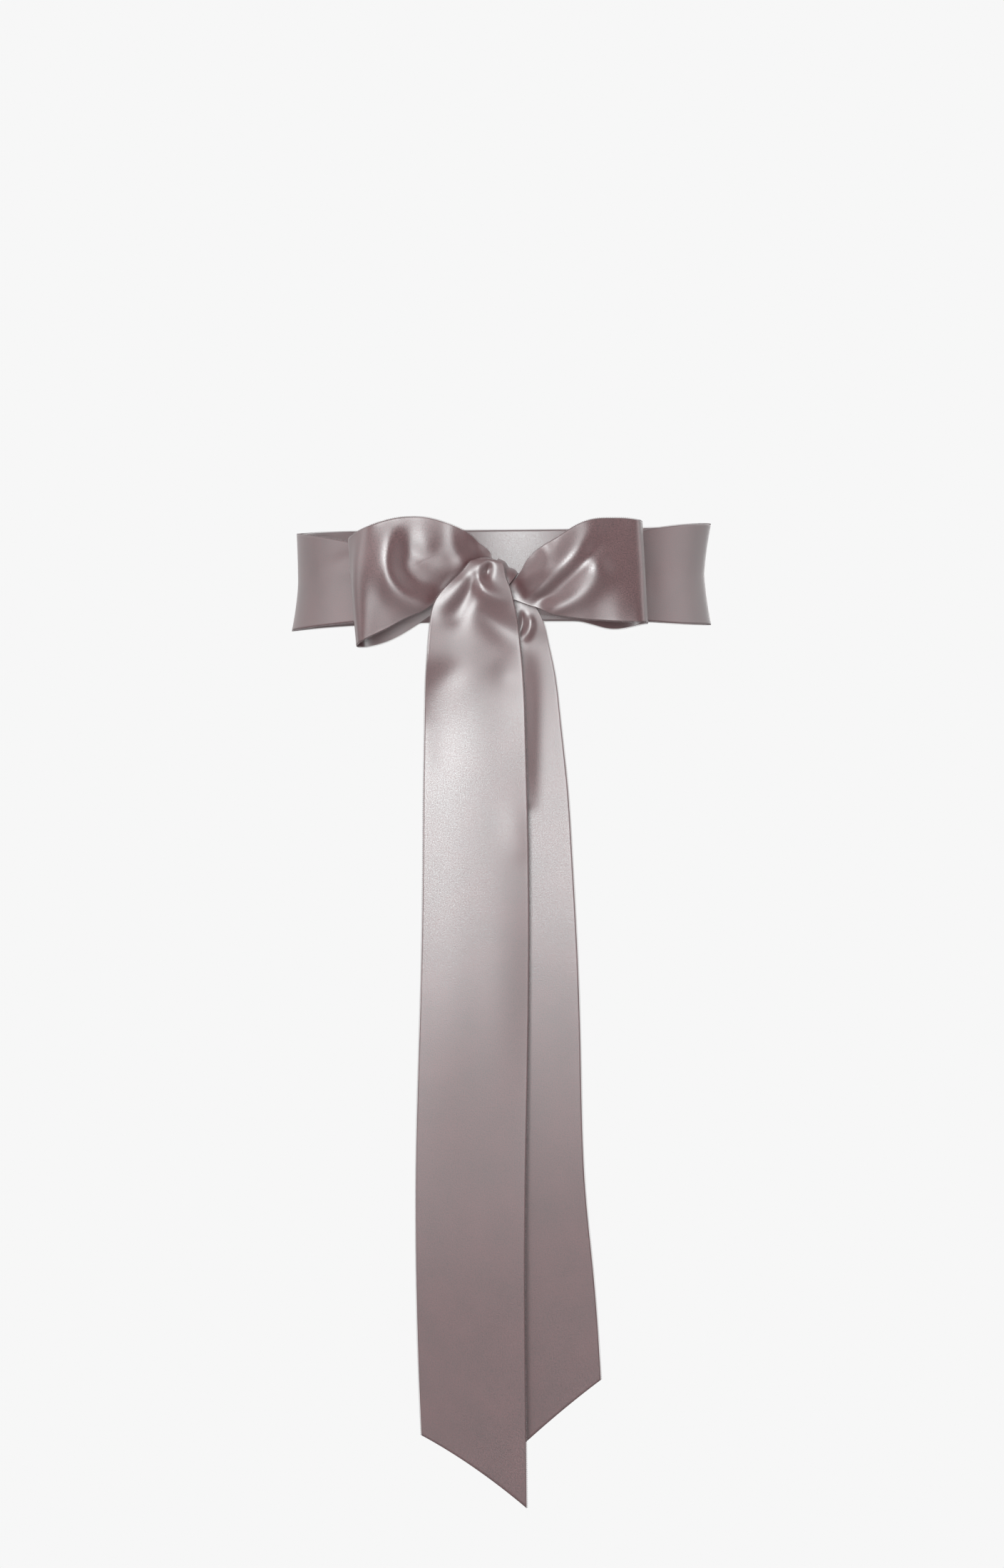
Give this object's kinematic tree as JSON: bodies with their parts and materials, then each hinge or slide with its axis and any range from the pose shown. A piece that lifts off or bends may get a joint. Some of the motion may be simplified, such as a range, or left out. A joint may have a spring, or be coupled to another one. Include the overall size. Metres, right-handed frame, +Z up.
{
  "type": "bridal sash",
  "caption": "Plain wide satin ribbon sash as worn round the waist, tied at the back in a bow with full loops and long hanging tails cut on a slant.",
  "frame": {"origin": "middle of the waist hollow, half way up the band at the wearer's sides", "axes": "+Z up the wearer's body, -Y towards the bow at the wearer's back, +X towards the wearer's right"},
  "size_m": [0.2428, 0.2182, 0.5311],
  "materials": {
    "satin_ribbon": "satin"
  },
  "bodies": {
    "root": {"sash_waist_band": "satin_ribbon", "sash_loop_left": "satin_ribbon", "sash_loop_right": "satin_ribbon", "sash_knot": "satin_ribbon", "sash_tail_front": "satin_ribbon", "sash_tail_rear": "satin_ribbon"}
  },
  "joints": []
}
